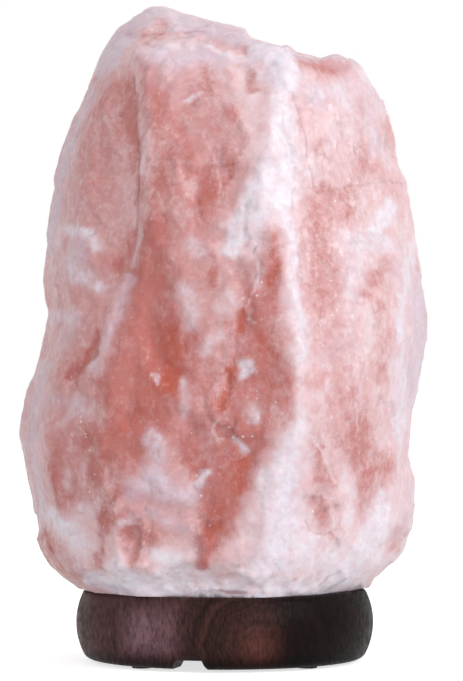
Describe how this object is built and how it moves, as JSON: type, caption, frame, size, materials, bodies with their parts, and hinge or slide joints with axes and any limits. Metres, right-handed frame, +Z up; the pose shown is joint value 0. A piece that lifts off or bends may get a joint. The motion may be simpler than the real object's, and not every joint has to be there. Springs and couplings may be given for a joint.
{
  "type": "salt crystal lamp",
  "caption": "Rough pink salt rock on a dark turned wooden disc, hollowed from below for a small screw-in bulb, whose fitting is held by spring clips and pulls out downwards.",
  "frame": {"origin": "on the table, on the axis of the turned wooden base, about 1 mm from the middle of the lamp's box", "axes": "+Z up, -Y towards the pictured side, +X to the right in the picture"},
  "size_m": [0.1515, 0.124, 0.2418],
  "materials": {
    "salt": "satin",
    "wood": "satin",
    "pad_rubber": "matte",
    "nylon": "matte",
    "screw_steel": "satin",
    "fitting_plastic": "satin",
    "bush_plastic": "matte",
    "core_ceramic": "matte",
    "contact_brass": "satin",
    "bracket_steel": "satin",
    "spring_steel": "polished",
    "bulb_metal": "satin",
    "solder": "satin",
    "insulator_glass": "gloss",
    "clear_glass": "gloss",
    "lead_wire": "satin"
  },
  "bodies": {
    "lamp_body": {"salt_crystal": "salt", "wooden_base": "wood", "foot_pad_1": "pad_rubber", "foot_pad_2": "pad_rubber", "foot_pad_3": "pad_rubber", "foot_pad_4": "pad_rubber", "screw_plug_1": "nylon", "screw_plug_2": "nylon", "screw_plug_3": "nylon", "fixing_screw_1": "screw_steel", "fixing_screw_2": "screw_steel", "fixing_screw_3": "screw_steel"},
    "bulb_holder": {"holder_sleeve": "fitting_plastic", "holder_cap": "fitting_plastic", "lock_ring": "fitting_plastic", "cord_bush": "bush_plastic", "cord_grip_screw": "bush_plastic", "holder_core": "core_ceramic", "holder_shell": "contact_brass", "centre_contact": "contact_brass", "centre_terminal": "contact_brass", "shell_terminal": "contact_brass", "contact_rivet": "contact_brass", "terminal_screw_1": "contact_brass", "terminal_screw_2": "contact_brass", "clip_bracket": "bracket_steel"},
    "clip_left": {"spring_clip_left": "spring_steel"},
    "clip_right": {"spring_clip_right": "spring_steel"},
    "bulb_tip": {"bulb_tip": "solder"},
    "bulb": {"bulb_insulator": "insulator_glass", "bulb_cap": "bulb_metal", "bulb_glass": "clear_glass", "bulb_stem": "clear_glass", "bulb_lead_1": "lead_wire", "bulb_lead_2": "lead_wire", "bulb_filament": "lead_wire", "bulb_supports": "lead_wire"}
  },
  "joints": [
    {"name": "fitting_pull", "type": "slide", "parent": "lamp_body", "child": "bulb_holder", "axis": [0, 0, -1], "range_m": [0, 0.1]},
    {"name": "clip_left_squeeze", "type": "hinge", "parent": "bulb_holder", "child": "clip_left", "pos_m": [-0.018, 0, 0.032], "axis": [0, -1, 0], "range_deg": [0, 7], "stiffness_Nm_per_rad": 0.15, "springref_deg": -9.74},
    {"name": "clip_right_squeeze", "type": "hinge", "parent": "bulb_holder", "child": "clip_right", "pos_m": [0.018, 0, 0.032], "axis": [0, 1, 0], "range_deg": [0, 7], "stiffness_Nm_per_rad": 0.15, "springref_deg": -9.74},
    {"name": "bulb_rise", "type": "slide", "parent": "bulb_holder", "child": "bulb_tip", "axis": [0, 0, 1], "range_m": [0, 0.0128]},
    {"name": "bulb_unscrew", "type": "hinge", "parent": "bulb_tip", "child": "bulb", "pos_m": [0, 0, 0.046], "axis": [0, 0, 1], "range_deg": [0, 1620]}
  ],
  "couplings": [
    {"joint": "bulb_rise", "follows": "bulb_unscrew", "m_per_rad": 0.00044882}
  ]
}
